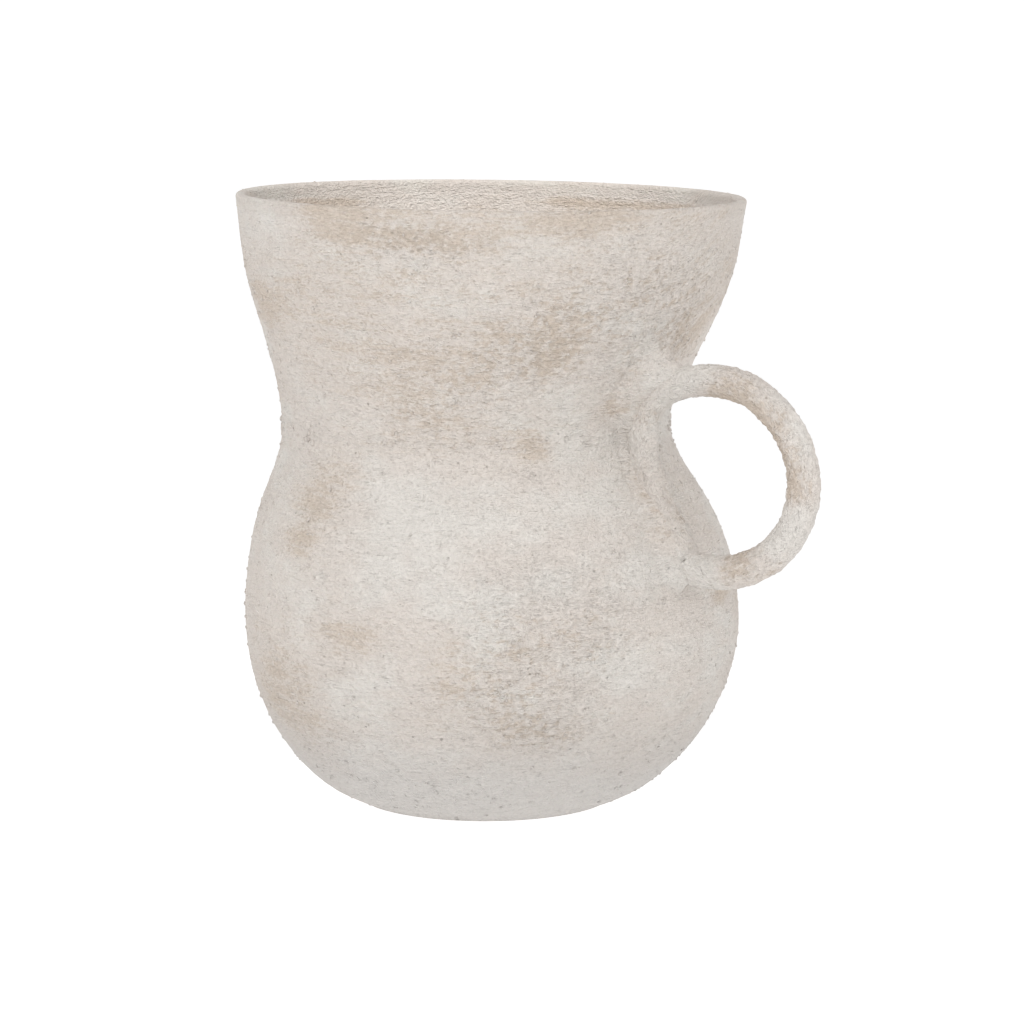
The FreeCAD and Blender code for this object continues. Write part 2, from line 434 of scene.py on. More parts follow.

# %% [markdown]
# ## Where the slip is worn
# Handling and sanding have rubbed the slip off in places, down to the tan clay. Each place is a soft oval:
# its turn round the pot in degrees, its height, half its length and half its height in mm, and how worn it
# is. A minus strength is a place where the slip is thicker. One oval, under the ring's lower root, is painted
# shadow, not wear. Two more lists of the same kind say where the wall is pitted, and where the inside is worn.

# %% Worn places
worn_and_shadow_places = [
    # Patches that the photograph shows
    (-84, 274, 21, 8, 0.65), (-79, 266, 12, 5, 0.45), (-60, 267, 30, 6, 0.45), (-28, 272, 24, 5, 0.60),
    (-1, 272, 29, 6, 0.20), (-32, 222, 15, 16, 0.70), (-35, 208, 7, 6, 0.50), (-66, 204, 34, 19, 0.50),
    (-46, 218, 22, 14, 0.35), (-36, 171, 10, 11, 0.60), (-60, 180, 34, 10, 0.45), (-97, 150, 21, 20, 0.80),
    (-100, 130, 10, 6, 0.60), (-82, 92, 19, 10, 0.75), (-106, 56, 30, 28, 0.80), (-104, 22, 26, 11, 0.45),
    (-58, 77, 11, 20, 0.55), (-46, 60, 16, 20, 0.42), (-35, 50, 20, 11, 0.48), (-30, 94, 25, 16, 0.28),
    (-44, 89, 17, 13, 0.20), (-11, 189, 8, 6, 0.70), (20, 243, 44, 29, 0.24), (12, 218, 21, 13, 0.48),
    (-117, 235, 19, 10, 0.60), (-7, 33, 26, 12, 0.45), (18, 139, 26, 13, 0.35), (-66, 148, 26, 15, -0.60),
    (-65, 118, 23, 10, -0.40), (-30, 151, 32, 12, -0.30), (-75, 19, 44, 10, -0.35), (-108, 271, 20, 9, -0.50),
    # The oval at turn 15, 103 mm up is painted shadow: it darkens the wall under the ring's lower root through the worn
    # attribute.
    (-14, 67, 23, 14, -0.12), (-90, 232, 30, 20, 0.25), (-60, 248, 45, 10, 0.15), (15, 103, 12, 6, 0.75),
    (-36, 118, 15, 14, -0.40), (-7, 119, 13, 12, -0.40), (-25, 150, 14, 16, -0.15), (-8, 204, 12, 6, 0.30),
    (-5, 174, 12, 10, -0.45), (-16, 172, 13, 10, -0.35), (2, 158, 10, 12, -0.20),
    # Broad and faint wear, and the thicker slip at the foot
    (-50, 244, 400, 22, 0.25), (-50, 10, 400, 24, -0.60), (-40, 268, 70, 8, 0.20), (-85, 264, 90, 12, 0.14),
    (-100, 210, 60, 20, 0.22), (-6, 186, 20, 12, 0.05),
    # The far side, in the style of the near one
    (60, 205, 30, 18, 0.50), (95, 150, 34, 20, 0.55), (140, 95, 30, 24, 0.60), (75, 70, 26, 14, 0.50),
    (170, 235, 36, 14, 0.50), (-160, 110, 28, 20, 0.60), (-140, 190, 26, 12, 0.50), (120, 260, 34, 8, 0.50),
    (165, 40, 40, 14, 0.50), (30, 100, 24, 12, 0.50),
]
pitted_places = [
    (-30, 94, 30, 20, 1.0), (-42, 72, 34, 26, 0.9), (-35, 50, 26, 14, 0.7), (-38, 112, 34, 16, 1.0),
    (-38, 215, 34, 24, 0.7), (-66, 265, 26, 9, 1.0), (-62, 190, 40, 22, 0.4), (-12, 240, 44, 24, 0.9),
    (0, 212, 30, 22, 0.7), (140, 90, 40, 30, 0.8), (75, 200, 40, 24, 0.6), (-150, 140, 40, 30, 0.5),
]
inside_worn_places = [
    (184, 271, 24, 7, 0.9), (170, 272, 22, 8, 1.0), (196, 266, 20, 6, 0.6), (84, 271, 50, 6, 1.0),
    (64, 266, 24, 6, 0.7), (108, 272, 26, 6, 0.9), (132, 268, 14, 4, 0.4), (20, 150, 40, 30, 0.6),
    (150, 120, 40, 30, 0.6),
]


def marked(places, spots, on_outside):
    """How strongly the spots mark each place."""
    total = np.zeros(places.shape[:-1])
    for turn, height, long_half, high_half, strength in spots:
        turn, height = math.radians(turn), height * mm
        radius = float(side_of(np.array([turn]), np.array([height]), on_outside)[0])
        along = np.hypot(places[..., 0] - radius * math.cos(turn), places[..., 1] - radius * math.sin(turn))
        upwards = (places[..., 2] - height) / (high_half * mm)
        total += strength * np.exp(-((along / (long_half * mm)) ** 2) - upwards**2)
    return total


print(len(worn_and_shadow_places), "worn,", len(pitted_places), "pitted,", len(inside_worn_places), "worn inside")

# %% [markdown]
# ## How worn and how rough the skin is
# The ring's inner side runs down the wall as a ridge, and that is rubbed to the tan clay too. Each point of
# the skin gets three numbers that the node trees read later: how worn, how pitted and how rough it is. The
# wiped lip and the wall near it are smoother, and the foot's flat face isn't rough at all.

# %% Mark the skin
def ramp(value, start, length):
    """0 before the start, 1 beyond start + length, and an even rise between them."""
    return np.clip((value - start) / length, 0, 1)


def ridge_worn(places):
    """How worn the ridge is, where the ring's inner side runs down the wall."""
    x, y, z = np.moveaxis(places, -1, 0)
    proud = np.hypot(x, y) - side_of(np.arctan2(y, x), z, True)
    low_down = ramp(-z, -165 * mm, 25 * mm)
    near_side = np.clip((y / mm + 10 + 5 * low_down) / (3 + 4 * low_down), 0, 1)
    along = ramp(z, 112 * mm, 16 * mm) * ramp(-z, -200 * mm, 14 * mm)
    return 0.38 * along * near_side * ramp(-y, -5 * mm, 1.5 * mm) * (x > 0) * np.clip(2.4 - proud / (9 * mm), 0, 1)


def outside_worn(places):
    """Over the lip the marks are those of the wall just under it, so that a patch runs up to the rim."""
    under_lip = places.copy()
    under_lip[..., 2] = np.minimum(places[..., 2], 273 * mm)
    return marked(under_lip, worn_and_shadow_places, True) + ridge_worn(places)


is_inside = (np.arange(len(rows)) >= inside_start)[:, None]
worn = np.where(is_inside, marked(skin_places, inside_worn_places, False) - 0.15, outside_worn(skin_places))
pitted = np.where(is_inside, 0.0, marked(skin_places, pitted_places, True))
part_rough = {"slab": 0.8, "lip": 0.5, "neck_in": 0.4}
roughness = np.array([np.full(columns, part_rough.get(r[0], 1.0)) for r in rows])
roughness = roughness * (0.45 + 0.55 * ramp(rim - height_grid, 4 * mm, 14 * mm))
roughness[height_grid < 1e-6] = 0.0
print("worn from", worn.min().round(2), "to", worn.max().round(2))

# %% [markdown]
# ## Helpers for Geometry Nodes
# Each tree has named inputs for its sizes, and ends as the export needs it: instances made real, and the clay
# set as its material. A modifier runs the tree. Its inputs are set by the socket's identifier before the
# object is first evaluated, and the result is kept as a plain mesh.

# %% Helpers for Geometry Nodes
def geo(tree, kind, feeds=(), **settings):
    """One Geometry node, and the first thing that comes out of it."""
    return add(tree, "GeometryNode" + kind, feeds, **settings).outputs[0]


def new_tree(name, **inputs):
    """A tree with a named input for each value, between one for the geometry and one for the clay."""
    tree = bpy.data.node_groups.new(name, "GeometryNodeTree")
    kinds = {float: "Float", int: "Int", tuple: "Vector", type(None): "Object"}
    tree.interface.new_socket("Geometry", in_out="INPUT", socket_type="NodeSocketGeometry")
    for title, value in inputs.items():
        kind = "NodeSocket" + kinds[type(value)]
        socket = tree.interface.new_socket(title.replace("_", " "), in_out="INPUT", socket_type=kind)
        if value is not None:
            socket.default_value = value
    tree.interface.new_socket("Clay", in_out="INPUT", socket_type="NodeSocketMaterial")
    tree.interface.new_socket("Geometry", in_out="OUTPUT", socket_type="NodeSocketGeometry")
    return tree, {socket.name: Level(tree, socket) for socket in add(tree, "NodeGroupInput").outputs}


def end_tree(tree, geometry, given):
    """Makes instances real and the shading smooth, and sets the clay."""
    whole = geo(tree, "RealizeInstances", (geometry,))
    smooth = geo(tree, "SetShadeSmooth", (whole,))
    dressed = geo(tree, "SetMaterial", {"Geometry": smooth, "Material": given["Clay"]})
    add(tree, "NodeGroupOutput", (dressed,))
    return tree


def stored(tree, name):
    """The number that each point of the mesh holds under that name."""
    return Level(tree, geo(tree, "InputNamedAttribute", {"Name": name}, data_type="FLOAT"))


def run_tree(obj, tree, **inputs):
    """Puts the tree on the object, sets its named inputs, and keeps the result as a plain mesh."""
    modifier = obj.modifiers.new(tree.name, "NODES")
    modifier.node_group = tree
    inlets = [s for s in tree.interface.items_tree if s.item_type == "SOCKET" and s.in_out == "INPUT"]
    sockets = {s.name: s.identifier for s in inlets}
    for name, value in inputs.items():
        modifier[sockets[name.replace("_", " ")]] = value
    bpy.context.view_layer.update()
    made = bpy.data.meshes.new_from_object(obj.evaluated_get(bpy.context.evaluated_depsgraph_get()))
    obj.modifiers.clear()
    return made

# %% [markdown]
# ## The relief of the clay
# Geometry Nodes push the skin in and out: slow dents from the hand, fine grain drawn out sideways by the
# brush, and a crust of lumps where the wall is pitted. It is one tree with its sizes as inputs, and every
# piece of the jug but the grains and crumbs goes through it, so that the clay is the same all over.

# %% The relief tree
def relief_tree():
    tree, given = new_tree(
        "clay_relief", Dent_Height=0.5 * mm, Dent_Size=26 * mm, Grain_Height=0.62 * mm, Grain_Size=3.4 * mm,
        Crust_Height=0.95 * mm, Crust_Size=3.8 * mm, Sideways_Pull=3.0, Wiped_Down=0.3 * mm,
    )
    place = geo(tree, "InputPosition")
    rough, crust = stored(tree, "rough"), stored(tree, "pitted")
    dents = (noise(tree, place, given["Dent Size"], 1.0) - 0.5) * given["Dent Height"]
    pulled = brushed(tree, place, given["Sideways Pull"])
    grain = (noise(tree, pulled, given["Grain Size"], 3.0, 0.62) - 0.5) * given["Grain Height"]
    grain = grain * spread(tree, crust, 0.0, 0.8, 0.5, 0.9)
    flattened = vectors(tree, "MULTIPLY", place, (1, 1, 1.25))
    lumps = spread(tree, noise(tree, flattened, given["Crust Size"], 2.0, 0.5, 0.6), 0.36, 0.66) - 0.5
    patchy = spread(tree, noise(tree, place, 30 * mm, 2.0), 0.45, 0.7, 0.0, 0.22)
    crusted = lumps * given["Crust Height"] * sums(tree, "MINIMUM", crust + patchy, 1.0)
    height = (dents * 2.0 + grain * 2.0 + crusted) * rough - rough * given["Wiped Down"]
    offset = scaled(tree, geo(tree, "InputNormal"), height)
    moved = geo(tree, "SetPosition", {"Geometry": given["Geometry"], "Offset": offset})
    fine = (grain * 2.0 + crusted) / given["Grain Height"]
    feeds = {"Geometry": moved, "Name": "relief", "Value": fine}
    kept = geo(tree, "StoreNamedAttribute", feeds, data_type="FLOAT", domain="POINT")
    return end_tree(tree, kept, given)


relief = relief_tree()
print("the relief tree has", len(relief.nodes), "nodes")

# %% [markdown]
# ## The height of the finest grain
# Grains of sand, grit, coarse lumps, brushed streaks, scored lines, curls of dragged slip and pinholes are too
# small for the mesh. They are one height, made of layers of noise, that the material uses three times: as bump,
# to keep slip on the high grains while tan shows in the hollows, and as painted shade that darkens the hollows
# and lightens the high grains.

# %% The grain in the material
def fine_grain(tree, place, coarse, streak):
    """The grain's height, its sand, its brush strokes and its pinholes. coarse says where the wall is pitted."""
    sand = noise(tree, brushed(tree, place, 2.4), 2.0 * mm, 2.0, 0.6)
    strokes = noise(tree, brushed(tree, place, 9.0), 14 * mm, 3.0, 0.66)
    grit = add(tree, "ShaderNodeTexVoronoi", {"Vector": brushed(tree, place, 1.6), "Scale": 1 / (1.9 * mm)})
    layers = [
        (noise(tree, brushed(tree, place, 1.4), 0.9 * mm, 1.0, 0.5), 0.65),
        (sand, 0.6),
        (0.83 - Level(tree, grit.outputs["Distance"]) * 0.6, 0.6),
        (noise(tree, brushed(tree, place, 2.8), 4.0 * mm, 2.0, 0.55), coarse * 1.1),
        (strokes, 0.6 * streak),
    ]
    height = sum((layer - 0.5) * weight for layer, weight in layers)
    lines = sums(tree, "ABSOLUTE", noise(tree, brushed(tree, place, 6.0), 40 * mm, 3.0, 0.5) - 0.5)
    few_lines = spread(tree, noise(tree, place, 22 * mm, 1.0), 0.48, 0.62, 0.0, 0.11 * streak)
    curls = sums(tree, "ABSOLUTE", noise(tree, place, 5.0 * mm, 1.0, 0.5, 0.8) - 0.5)
    height += spread(tree, curls, 0.0, 0.06, 1.0, 0.0) * spread(tree, coarse, 0.5, 0.9, 0.0, 0.14)
    height -= spread(tree, lines, 0.0, 0.022, 1.0, 0.0) * few_lines
    cells = add(tree, "ShaderNodeTexVoronoi", {"Vector": place, "Scale": 1 / (6 * mm)}).outputs["Distance"]
    pinholes = spread(tree, cells, 0.04, 0.11, 1.0, 0.0) * spread(tree, noise(tree, place, 9 * mm, 0.0), 0.5, 0.6)
    return height - pinholes * 0.4, sand, strokes, pinholes

# %% [markdown]
# ## The colours of the clay
# Thin slip, thicker slip where the brush lingered, and bare tan clay show on the jug. Towards the foot the clay
# is painted a cooler grey and darker, which is painted shade. A picture's colours run from 0 to 255, and a
# material wants light, so a helper turns one into the other. On the ring a pattern follows the coil, whose
# places are told as along, sideways and out.

# %% Colours of the clay
ring_middle, ring_radius = Vector((131.6, 0, 160.4)) * mm, 45 * mm
slip_colour, thick_slip_colour = (218, 210, 203), (222, 217, 211)
# The foot's cooler grey is painted shade.
tan_colour, cool_foot_shade_colour = (202, 188, 174), (205, 201, 198)


def colour_of(*parts):
    """A picture colour from 0 to 255 as the light value that a material wants."""
    return tuple(((c / 255 + 0.055) / 1.055) ** 2.4 for c in parts) + (1.0,)


def blend(tree, share, low, high):
    """A colour between two, each a colour or another node's output."""
    return add(tree, "ShaderNodeMix", {0: share, 6: low, 7: high}, data_type="RGBA").outputs[2]


def along_ring(tree, place):
    """The place told as: how far along the ring, how far to its side, how far from its middle."""
    x, y, z = axes(tree, place)
    x, z = x - ring_middle.x, z - ring_middle.z
    along = sums(tree, "ARCTAN2", z, x) * ring_radius
    return add(tree, "ShaderNodeCombineXYZ", (along, y * 1.3, sums(tree, "SQRT", x * x + z * z))).outputs[0]


print("tan clay as light:", [round(part, 3) for part in colour_of(*tan_colour)])

# %% [markdown]
# ## The finish of the clay
# One material serves every piece. Chalky slip lies over tan clay: the worn places, smears, sweeps and strokes
# decide between them, less the grain's height, so the edge of each patch is ragged.

# %% The clay material
def clay(name, slip=slip_colour, thick_slip=thick_slip_colour, grain=1.0, wear=0.0, streak=1.0, on_ring=False):
    """Grogged clay under chalky slip. wear is added to the piece's own worn places."""
    material = bpy.data.materials.new(name)
    material.use_nodes = True
    tree = material.node_tree
    surface = tree.nodes["Principled BSDF"].inputs
    worn_here, relief_here, pitted_here, inside = [
        Level(tree, add(tree, "ShaderNodeAttribute", attribute_name=told).outputs["Fac"])
        for told in ("worn", "relief", "pitted", "inside")
    ]
    worn_here = worn_here + wear
    place = add(tree, "ShaderNodeTexCoord").outputs["Object"]
    up_the_pot = axes(tree, place)[2]
    place = along_ring(tree, place) if on_ring else place
    wander = add(tree, "ShaderNodeTexNoise", {"Vector": place, "Scale": 60.0, "Detail": 1.0}).outputs["Color"]
    bent = vectors(tree, "ADD", place, scaled(tree, wander, 1.5 * mm))
    coarse = spread(tree, pitted_here, 0.0, 0.8, 0.3, 0.95)
    height, sand, strokes, pinholes = fine_grain(tree, bent, coarse, streak)

    smears = noise(tree, brushed(tree, bent, 2.6), 20 * mm, 5.0, 0.66)
    sweeps = noise(tree, brushed(tree, bent, 5.0), 28 * mm, 3.0, 0.6)
    patch = worn_here + (smears - 0.5) * 0.9 + (strokes - 0.5) * 1.5 + (sweeps - 0.5) * 0.9
    ragged = patch - height * 0.8 - relief_here * 0.45
    bared = spread(tree, ragged, -0.15, 1.35, 0.0, 0.68) + spread(tree, ragged, 0.42, 0.66, 0.0, 0.27)

    cloud = noise(tree, vectors(tree, "MULTIPLY", place, (1, 1, 1.6)), 35 * mm, 3.0, 0.6)
    thick = spread(tree, cloud - worn_here * 0.25, 0.40, 0.66)
    slipped = blend(tree, thick, colour_of(*slip), colour_of(*thick_slip))
    darker, lighter = [colour_of(*[part + change for part in tan_colour]) for change in (-6, 5)]
    colour = blend(tree, bared, slipped, blend(tree, spread(tree, sand, 0.3, 0.7), darker, lighter))
    # Painted shade: below 60 mm the colour is blended towards the cooler grey of the foot, up to 0.6 of the way.
    foot_shade_share = spread(tree, up_the_pot, 12 * mm, 60 * mm, 0.6, 0.0)
    colour = blend(tree, foot_shade_share, colour, colour_of(*cool_foot_shade_colour))

    # Painted shade and light: the grain's hollows and the pinholes are darkened, and its high points lightened.
    shade = spread(tree, height, -0.32, 0.32, 0.91, 1.07, smooth=False) * spread(tree, pinholes, 0.0, 1.0, 1.0, 0.86)
    # Painted shade: the colour is darkened towards the foot, to 0.84 at 15 mm up, fading out by 95 mm.
    shade = shade * spread(tree, up_the_pot, 15 * mm, 95 * mm, 0.84, 1.0)
    # Painted light: the inside is painted up to 1.12 times brighter, for light reaching into the mouth.
    shade = shade * spread(tree, inside, 0.0, 1.0, 1.0, 1.12)
    tree.links.new(scaled(tree, colour, shade), surface["Base Color"])
    tree.links.new(spread(tree, bared, 0.0, 1.0, 0.92, 0.84).socket, surface["Roughness"])
    surface["Specular IOR Level"].default_value = 0.18
    bump = add(tree, "ShaderNodeBump", {"Height": height, "Distance": 1.5 * mm * grain, "Strength": 1.0})
    tree.links.new(bump.outputs[0], surface["Normal"])
    return material

# %% [markdown]
# ## Four clays
# The wall, the wiped lip, the rolled coil and the luting clay share that finish. The lip is smoother, and the
# coil, which was rolled and not brushed, has fewer streaks. The luting is the roughest.

# %% Mix the four clays
wall_clay = clay("slipped_wall_clay")
lip_clay = clay("wiped_lip_clay", slip=(214, 206, 199), thick_slip=(218, 213, 206), grain=0.9, wear=0.1)
ring_clay = clay("ring_coil_clay", wear=-0.12, streak=0.5, on_ring=True)
luting_clay = clay("luting_clay", wear=0.06, grain=1.1, streak=0.6)
print("each clay has about", len(wall_clay.node_tree.nodes), "nodes")

# %% [markdown]
# ## Helpers for meshes
# Every sheet of clay is a grid of points, whose faces lie between one row and the next. Numbers such as how
# worn each point is go into the mesh under a name, where the node trees find them.

# %% Helpers for meshes
def strips(ids, closed=False, whole_turn=True):
    """Faces between the rows of a grid of point numbers. closed joins the last row to the first."""
    beside, above = np.roll(ids, -1, axis=1), np.roll(ids, -1, axis=0)
    faces = np.stack([ids, beside, np.roll(beside, -1, axis=0), above], axis=2)
    return faces[: None if closed else -1, : None if whole_turn else -1].reshape(-1, 4).tolist()


def fans(ids, low_pole, high_pole):
    """Triangles that close the first row round one point and the last row round another."""
    low = [(low_pole, b, a) for a, b in zip(ids[0], np.roll(ids[0], -1))]
    return low + [(a, b, high_pole) for a, b in zip(ids[-1], np.roll(ids[-1], -1))]


def store(mesh, name, numbers):
    """Keeps a number for each point of the mesh, or one for all of them, under that name."""
    numbers = np.broadcast_to(np.asarray(numbers, np.float32).ravel(), len(mesh.vertices))
    mesh.attributes.new(name, "FLOAT", "POINT").data.foreach_set("value", np.ascontiguousarray(numbers))


def read_points(mesh, kind="co"):
    """The place of each point of a mesh, or its normal."""
    numbers = np.zeros(len(mesh.vertices) * 3)
    mesh.vertices.foreach_get(kind, numbers)
    return numbers.reshape(-1, 3)


def mesh_object(name, places, faces, **values):
    """A new object with a smooth mesh, and a number for each point under each name in values."""
    mesh = bpy.data.meshes.new(name)
    mesh.from_pydata(places.tolist(), [], faces)
    mesh.polygons.foreach_set("use_smooth", np.ones(len(mesh.polygons), bool))
    for key, numbers in values.items():
        store(mesh, key, numbers)
    return new_object(name, mesh)


print("3 rows of 4 points round the pot have", len(strips(np.arange(12).reshape(3, 4))), "faces between them")

# %% [markdown]
# ## Roughen the skin
# The rows become one mesh of four-sided faces, closed by a fan of triangles under the foot and another on the
# floor. The relief tree then moves its points. Only its results are kept, as plain numbers: the places, the
# normals and how high the fine relief stands.

# %% Roughen the skin
foot_pole = len(rows) * columns
index = np.arange(foot_pole).reshape(len(rows), columns)
points = np.concatenate([skin_places.reshape(-1, 3), [[0, 0, 0], [0, 0, slab_top]]])
skin_values = {"worn": np.append(worn, [0, 0.3]), "pitted": np.append(pitted, [0, 0])}
skin_faces = strips(index) + fans(index, foot_pole, foot_pole + 1)
skin = mesh_object("skin", points, skin_faces, rough=np.append(roughness, [0, 1]), **skin_values)
rough_skin = run_tree(skin, relief, Clay=wall_clay)
skin_points, skin_normals = read_points(rough_skin), read_points(rough_skin, "normal")
# How far each point lies down the inside; the material paints the inside brighter by that share, which is painted
# light.
inside_share = np.clip((np.arange(len(rows)) - inside_start + 3) / 6, 0, 1)
skin_values["inside"] = np.append(np.repeat(inside_share, columns), [0, 1])
skin_values["relief"] = np.zeros(len(points))
rough_skin.attributes["relief"].data.foreach_get("value", skin_values["relief"])
bpy.data.objects.remove(skin)
print("moved by up to", round(np.linalg.norm(skin_points - points, axis=1).max() / mm, 2), "mm")

# %% [markdown]
# ## Cut the skin into the potter's pieces
# Each wall piece takes its outside rows and its inside rows, and is closed by a flat ring at its top and its
# bottom. The whole skin's normals go with it, so light runs on over the joints as it does on fired clay.

# %% Cut the pieces
def finish_piece(obj, slot, material, *nodes):
    """Dresses a piece, hides the CAD nodes that it takes the place of, and lets it ride on the one body."""
    obj.data.materials.clear()
    obj.data.materials.append(material)
    if nodes:
        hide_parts(*nodes)
    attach(obj, "root")
    print(obj.name, sum(len(p.vertices) - 2 for p in obj.data.polygons), "triangles")
    return obj


def cut_piece(name, row_list, slot, material, node, has_poles=False):
    """One closed piece from rows of the skin, in order."""
    ids = index[row_list]
    own = np.arange(ids.size).reshape(ids.shape)
    faces, taken = strips(own, closed=not has_poles), ids.ravel()
    if has_poles:
        faces += fans(own, ids.size, ids.size + 1)
        taken = np.append(taken, [foot_pole, foot_pole + 1])
    obj = mesh_object(name, skin_points[taken], faces, **{key: all_of[taken] for key, all_of in skin_values.items()})
    obj.data.normals_split_custom_set_from_vertices(skin_normals[taken])
    return finish_piece(obj, slot, material, node)


def rows_of(part):
    """A part's rows, after the last row of the part before it, where the two meet."""
    return [joint_rows[part][0] - 1] + joint_rows[part]


slab_rows = joint_rows["slab"] + rows_of("floor")
cut_piece("clay_floor", slab_rows, "body_clay", wall_clay, "base_slab", has_poles=True)
for name, outer, inner, node in (
    ("belly_lower_course", "low_out", "low_in", "belly_wall"),
    ("belly_upper_course", "high_out", "high_in", "belly_wall"),
    ("neck_course", "neck_out", "neck_in", "neck_wall"),
):
    cut_piece(name, rows_of(outer) + rows_of(inner), "body_clay", wall_clay, node)
cut_piece("wiped_lip", rows_of("lip"), "lip_clay", lip_clay, "rim_lip")

# %% [markdown]
# ## The line of the ring
# The potter rolls a coil and closes it into a ring. Rays in the plane of the ring find the middle of the CAD
# coil. The real ring isn't a true oval: each bump below has its turn and its half width in degrees, and how
# far in mm it moves the line upwards or outwards.

# %% Find the ring's line
coil, coil_radius = ray_target("ring_handle"), 7.5 * mm
lifts = [(132, 24, 2.2), (147, 12, 1.6), (244, 11, -3.0)]
pushes = [(214, 18, 3.8), (168, 14, -0.8), (66, 20, 0.4)]


def bumps(degrees, shapes):
    """The sum of soft bumps at that turn."""
    return sum(size * mm * math.exp(-(((degrees - middle) / half) ** 2)) for middle, half, size in shapes)


def coil_middle(turn):
    """The middle of the coil in that direction from the middle of the ring, and the direction."""
    out, degrees = Vector((math.cos(turn), 0, math.sin(turn))), math.degrees(turn)
    near = coil.ray_cast(ring_middle, out)[0]
    far = coil.ray_cast(ring_middle + out * 0.12, -out)[0]
    moved = Vector((0, 0, bumps(degrees, lifts))) + out * bumps(degrees, pushes)
    return (near + far) / 2 + moved, out


ring_turns = np.radians(np.arange(0, 360, 5))
ring_line = [coil_middle(turn)[0] for turn in ring_turns]
ring_joins = [(i, (i + 1) % len(ring_line)) for i in range(len(ring_line))]
ring_guide_mesh = bpy.data.meshes.new("ring_guide")
ring_guide_mesh.from_pydata([tuple(place) for place in ring_line], ring_joins, [])
ring_guide = new_object("ring_guide", ring_guide_mesh)
print("ring line from x", round(min(p.x for p in ring_line) / mm, 1), "to", round(max(p.x for p in ring_line) / mm, 1))

# %% [markdown]
# ## Sweep the ring
# A tree turns the line into an even curve and sweeps a round section along it, a little thicker below than
# above and never quite even, as rolled clay is.

# %% The ring's tree
def thicker_below(tree, height):
    """The coil's radius at a height as a share of its usual radius."""
    return spread(tree, height, 118 * mm, 202 * mm, 1.04, 1.01)


def ring_tree():
    tree, given = new_tree("rolled_ring", Coil_Radius=coil_radius, Coil_Step=0.75 * mm, Unevenness=0.05)
    line = geo(tree, "MeshToCurve", (given["Geometry"],))
    soft = geo(tree, "CurveSplineType", (line,), spline_type="CATMULL_ROM")
    even = {"Curve": soft, "Length": given["Coil Step"]}
    even = geo(tree, "ResampleCurve", even, mode="LENGTH")
    place = geo(tree, "InputPosition")
    lumpy = (noise(tree, place, 22 * mm, 2.0) - 0.5) * given["Unevenness"]
    share = thicker_below(tree, axes(tree, place)[2]) + lumpy
    section = {"Resolution": 60, "Radius": given["Coil Radius"]}
    section = geo(tree, "CurvePrimitiveCircle", section)
    swept = {"Curve": even, "Profile Curve": section, "Scale": share}
    return end_tree(tree, geo(tree, "CurveToMesh", swept), given)


ring_mesh = run_tree(ring_guide, ring_tree(), Clay=ring_clay)
print("the swept coil has", len(ring_mesh.vertices), "points")

# %% [markdown]
# ## Wear and finish the ring
# Fingers rub a ring on its inner side. Each mark has its turn round the ring, how far inwards it lies as a
# share of the coil's radius, its size in mm and its strength. Where the coil would come through the inside
# of the pot, it is flattened against the wall, and then it gets the same relief as the skin.

# %% Finish the ring
ring_wear = [
    (88, 0.8, 8, 0.6), (73, 0.5, 10, 0.9), (55, 0.6, 11, 0.9), (38, 0.8, 10, 0.9), (20, 0.6, 9, 0.9),
    (4, 0.1, 7, 1.2), (355, -0.1, 6, 1.2), (301, 0.4, 8, 0.7), (289, 0.2, 9, 0.9), (262, 0.0, 12, -0.9),
    (110, -0.4, 14, -0.7), (335, 0.0, 15, -0.5), (312, -0.9, 9, 0.4),
]


def ring_marked(places):
    """How worn each place on the ring is."""
    total = np.zeros(len(places))
    for turn, inwards, size, strength in ring_wear:
        middle, out = coil_middle(math.radians(turn))
        spot = middle - out * inwards * coil_radius + Vector((0, -0.5 * coil_radius, 0))
        total += strength * np.exp(-(np.linalg.norm(places - np.array(spot), axis=1) / (size * mm)) ** 2)
    return total + ridge_worn(places)


def luting_worn(places):
    return marked(places, worn_and_shadow_places, True) + ring_marked(places)


def roughened(name, mesh, slot, material, node, worn_here, rough=1.0, pits=0.25):
    """Gives a made mesh the clay's relief and finishes it as a piece."""
    for key, value in (("worn", worn_here(read_points(mesh))), ("rough", rough), ("pitted", pits)):
        store(mesh, key, value)
    plain = new_object(name + "_plain", mesh)
    made = new_object(name, run_tree(plain, relief, Clay=material))
    bpy.data.objects.remove(plain)
    return finish_piece(made, slot, material, node)


least_wall, pressed_in = 2.5 * mm, 0
for vertex in ring_mesh.vertices:
    reach, turn = math.hypot(vertex.co.x, vertex.co.y), math.atan2(vertex.co.y, vertex.co.x)
    least = float(side_of(np.array([turn]), np.array([vertex.co.z]), False)[0]) + least_wall
    if reach < least:
        vertex.co.x, vertex.co.y = vertex.co.x * least / reach, vertex.co.y * least / reach
        pressed_in += 1
print(pressed_in, "places of the coil flattened inside the wall")
roughened("rolled_ring", ring_mesh, "handle_clay", ring_clay, "ring_handle", luting_worn, rough=1.25, pits=0.5)

# %% [markdown]
# ## Where the luting clay goes
# The ring is stuck to the wall with soft clay, which the potter smears into both sides until neither shows
# where it ends. Two distances say how near a place is to the coil and to the wall. A third number says how
# widely the clay is smeared there: a bead on the near side of the ridge, and a broad wipe at each root.

